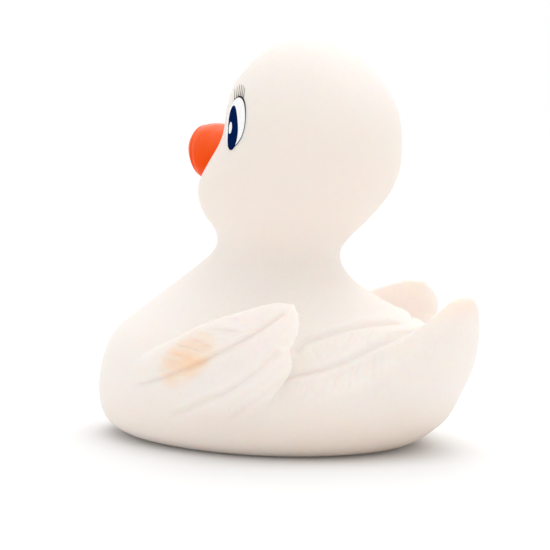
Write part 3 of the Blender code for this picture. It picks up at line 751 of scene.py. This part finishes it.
# Cross sections of the bill, back to front: place, height, half width, height above and below
BILL_SECTIONS = (
    (-19.0, 135.5, 14.0, 10.5, 13.5),
    (-22.5, 135.5, 16.5, 11.9, 17.2),
    (-29.0, 135.6, 17.0, 13.5, 17.1),
    (-34.8, 135.9, 15.8, 13.2, 15.2),
    (-37.7, 136.2, 14.2, 12.2, 13.4),
    (-40.2, 136.6, 12.2, 10.6, 10.9),
    (-42.6, 137.1, 8.7, 7.4, 6.8),
    (-44.0, 137.5, 3.2, 2.6, 2.4),
)
# The raised lip and the dip behind it: place and height
BILL_LIP = ((-38.8, 0.4), (-36.9, -0.3))
LIP_WIDTH = 0.9


def make_bill(material):
    rings = []
    angle = turn(BILL_POINTS)
    for y, height, half_width, above, below in between(BILL_SECTIONS, BILL_STEPS):
        swell = sum(lift * math.exp(-((y - middle) / LIP_WIDTH) ** 2) for middle, lift in BILL_LIP)
        rise = (np.where(np.sin(angle) > 0, above, below) + swell) * np.sin(angle)
        rings.append(np.stack([
            (half_width + swell) * np.cos(angle), np.full(BILL_POINTS, y), height + rise
        ], 1))
    bill = place("bill_shell", *loft(rings))
    bill.data.materials.append(material)
    return bill


EYE_HEADING = math.radians(53)  # from straight ahead, towards the side
EYE_MIDDLE = (33.6, -4.9, 149.3)
CAST_START = 40  # how far outside the head the rays that find its surface start
PAINT = 0.12  # thickness of a coat
# Ellipses of the eye: place across and up the face, half width and half height
OUTLINE = (5.2, 0.75, 8.7, 11.85)
EYE_WHITE = (4.95, 0.5, 8.6, 11.3)
IRIS = (3.9, -1.9, 5.1, 10.1)
IRIS_LEAN = -0.18
CATCHLIGHT = (1.9, -2.0, 1.7, 2.7)
LASHES = 6
LASH_FIRST, LASH_GAP = 0.7, 1.6
LASH_LIFT = 0.6
LASH_ARCH = 11.6
LASH_LENGTH = 5.8
LASH_WIDTH = 0.38


def film(name, tree, side, outline, lift, material, rings=14):
    """A thin coat of paint on the head. The outline gives places across and up the face at the eye."""
    ahead = Vector((side * math.sin(EYE_HEADING), -math.cos(EYE_HEADING), 0.0))
    across = Vector((side * math.cos(EYE_HEADING), math.sin(EYE_HEADING), 0.0))
    middle = Vector((side * EYE_MIDDLE[0], EYE_MIDDLE[1], EYE_MIDDLE[2]))
    outline = np.asarray(outline, float)
    centre = outline.mean(0)
    layers = [[], []]
    for ring in range(rings + 1):
        for u, v in (centre + (outline - centre) * max(ring / rings, 0.002)):
            start = middle + ahead * CAST_START + across * float(u) + Vector((0, 0, float(v)))
            world = Vector((start.x, start.y + AXIS_Y, start.z)) * MM
            point, normal, _, _ = tree.ray_cast(world, -ahead)
            for layer, height in zip(layers, (lift - PAINT, lift)):
                layer.append(np.array(point + normal * height * MM) / MM - (0.0, AXIS_Y, 0.0))
    count = len(outline)
    points = np.array(layers[0] + layers[1])
    half = len(layers[0])
    faces = []
    for ring in range(rings):
        for i in range(count):
            j = (i + 1) % count
            a, b = ring * count, (ring + 1) * count
            faces.append((half + a + i, half + a + j, half + b + j, half + b + i))
            faces.append((a + j, a + i, b + i, b + j))
    for i in range(count):
        j = (i + 1) % count
        edge = rings * count
        faces.append((edge + i, edge + j, half + edge + j, half + edge + i))
    faces.append(tuple(range(count)))
    faces.append(tuple(half + i for i in range(count))[::-1])
    piece = place(name, points, faces)
    piece.data.materials.append(material)
    return piece


def ellipse(u, v, half_width, half_height, lean=0.0):
    angle = turn(ELLIPSE_POINTS)
    up = half_height * np.sin(angle)
    return np.stack([u + half_width * np.cos(angle) + lean * up, v + up], 1)


def lash_outline(u, v, length, fan, width):
    """A tapering stroke that curves outward."""
    t = np.linspace(0, 1, 7)
    spine = np.stack([u + fan * t ** 1.5, v + length * t], 1)
    half = width / 2 * (1 - 0.75 * t)
    left = spine - np.stack([half, 0 * half], 1)
    right = spine + np.stack([half, 0 * half], 1)
    return np.vstack([left, right[::-1]])


def make_eyes(tree):
    """The eye paint on both sides, in coats one over another."""
    white = paint_material("eye_white_paint", (0.97, 0.97, 0.97), (0.93, 0.93, 0.93), 0.28)
    navy = paint_material("iris_navy_paint", (0.002, 0.014, 0.085), (0.002, 0.01, 0.06), 0.22)
    dark = paint_material("outline_brown_paint", (0.055, 0.04, 0.035), (0.03, 0.02, 0.018), 0.35)
    brown = paint_material("lash_brown_paint", (0.17, 0.125, 0.095), (0.12, 0.09, 0.07), 0.45)
    pieces = []
    for side, label in ((1, "left"), (-1, "right")):
        pieces += [
            film(f"eye_outline_{label}", tree, side, ellipse(*OUTLINE), 0.10, dark),
            film(f"eye_white_{label}", tree, side, ellipse(*EYE_WHITE), 0.18, white),
            film(f"eye_iris_{label}", tree, side, ellipse(*IRIS, lean=IRIS_LEAN), 0.26, navy),
            film(f"eye_catchlight_{label}", tree, side, ellipse(*CATCHLIGHT), 0.34, white),
        ]
        for i in range(LASHES):
            u = LASH_FIRST + LASH_GAP * i
            base = LASH_LIFT + LASH_ARCH * math.sqrt(1 - ((u - OUTLINE[0]) / OUTLINE[2]) ** 2)
            off_middle = i - (LASHES - 1) / 2
            length = LASH_LENGTH - 0.25 * abs(off_middle)
            stroke = lash_outline(u, base, length, 0.62 * off_middle - 3.6, LASH_WIDTH)
            pieces.append(film(f"lash_{label}_{i + 1}", tree, side, stroke, 0.1, brown, rings=2))
    return pieces


# Stage


def make_stage():
    mesh = bpy.data.meshes.new("floor")
    bm = bmesh.new()
    bmesh.ops.create_circle(bm, cap_ends=True, radius=FLOOR_RADIUS, segments=96)
    bm.to_mesh(mesh)
    bm.free()
    floor = bpy.data.objects.new("floor", mesh)
    bpy.context.scene.collection.objects.link(floor)
    floor.location.z = -FLOOR_GAP
    mesh.materials.append(floor_material())
    make_sky()
    for lamp in LAMPS:
        add_lamp(*lamp)


def floor_material():
    """White paper that darkens a little more where the duck is very near."""
    made, tree, shader = node_material("pale_floor", (0.93, 0.93, 0.93), 0.9)
    contact = tree.nodes.new("ShaderNodeAmbientOcclusion")
    contact.inputs["Distance"].default_value = 0.03
    contact.samples = 8
    shade = ramp(tree, contact.outputs["AO"], 0.2, 0.9, 0.86, 1.0)
    cloud = ramp(tree, noise(tree, 1.5), 0.3, 0.7)
    paper = mix(tree, cloud, (0.885, 0.885, 0.885), (0.875, 0.875, 0.875))
    tree.links.new(mix(tree, shade, (0.0, 0.0, 0.0), paper), shader.inputs["Base Color"])
    shader.inputs["Specular IOR Level"].default_value = 0.1
    tree.links.new(mix(tree, shade, (0.0, 0.0, 0.0), (1.0, 1.0, 1.0)), shader.inputs["Emission Color"])
    shader.inputs["Emission Strength"].default_value = 0.03
    return made


def add_lamp(name, travel, energy, spread):
    """A lamp far off, that shines along travel, with soft edges to its shadow."""
    lamp = bpy.data.lights.new(name, "SUN")
    lamp.energy = energy
    lamp.angle = math.radians(spread)
    obj = bpy.data.objects.new(name, lamp)
    bpy.context.scene.collection.objects.link(obj)
    obj.rotation_euler = Vector(travel).to_track_quat("-Z", "Y").to_euler()


def make_sky():
    """A white studio, a little dimmer overhead than at the horizon."""
    world = bpy.data.worlds.new("studio")
    bpy.context.scene.world = world
    world.use_nodes = True
    tree = world.node_tree
    background = tree.nodes["Background"]
    coords = tree.nodes.new("ShaderNodeTexCoord")
    split = tree.nodes.new("ShaderNodeSeparateXYZ")
    tree.links.new(coords.outputs["Generated"], split.inputs[0])
    background.inputs["Color"].default_value = (1, 1, 1, 1)
    tree.links.new(ramp(tree, split.outputs["Z"], 0.2, 0.45, 1.0, 0.8), background.inputs["Strength"])


def make_camera():
    azimuth, elevation = math.radians(CAMERA_AZIMUTH), math.radians(CAMERA_ELEVATION)
    back = Vector((
        math.sin(azimuth) * math.cos(elevation), -math.cos(azimuth) * math.cos(elevation), math.sin(elevation)
    ))
    right = Vector((math.cos(azimuth), math.sin(azimuth), 0.0))
    aim = Vector((0.0, AXIS_Y, CAMERA_AIM[1])) + right * CAMERA_AIM[0]
    lens = bpy.data.cameras.new("camera")
    lens.lens = CAMERA_LENS
    lens.sensor_width = SENSOR_WIDTH
    camera = bpy.data.objects.new("camera", lens)
    bpy.context.scene.collection.objects.link(camera)
    camera.location = (aim + back * CAMERA_DISTANCE) * MM
    camera.rotation_euler = (-back).to_track_quat("-Z", "Y").to_euler()
    bpy.context.scene.camera = camera


def main():
    bpy.context.scene.view_settings.view_transform = "Standard"
    make_camera()
    make_stage()
    dress_nodes()
    skin = make_skin()
    tree = tree_of(skin)
    skin.data.materials.clear()
    skin.data.materials.append(vinyl_material())
    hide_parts("duck_skin")
    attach(skin, "duck")
    bill = make_bill(bill_material())
    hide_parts("bill")
    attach(bill, "duck")
    for piece in make_eyes(tree):
        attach(piece, "duck")


main()
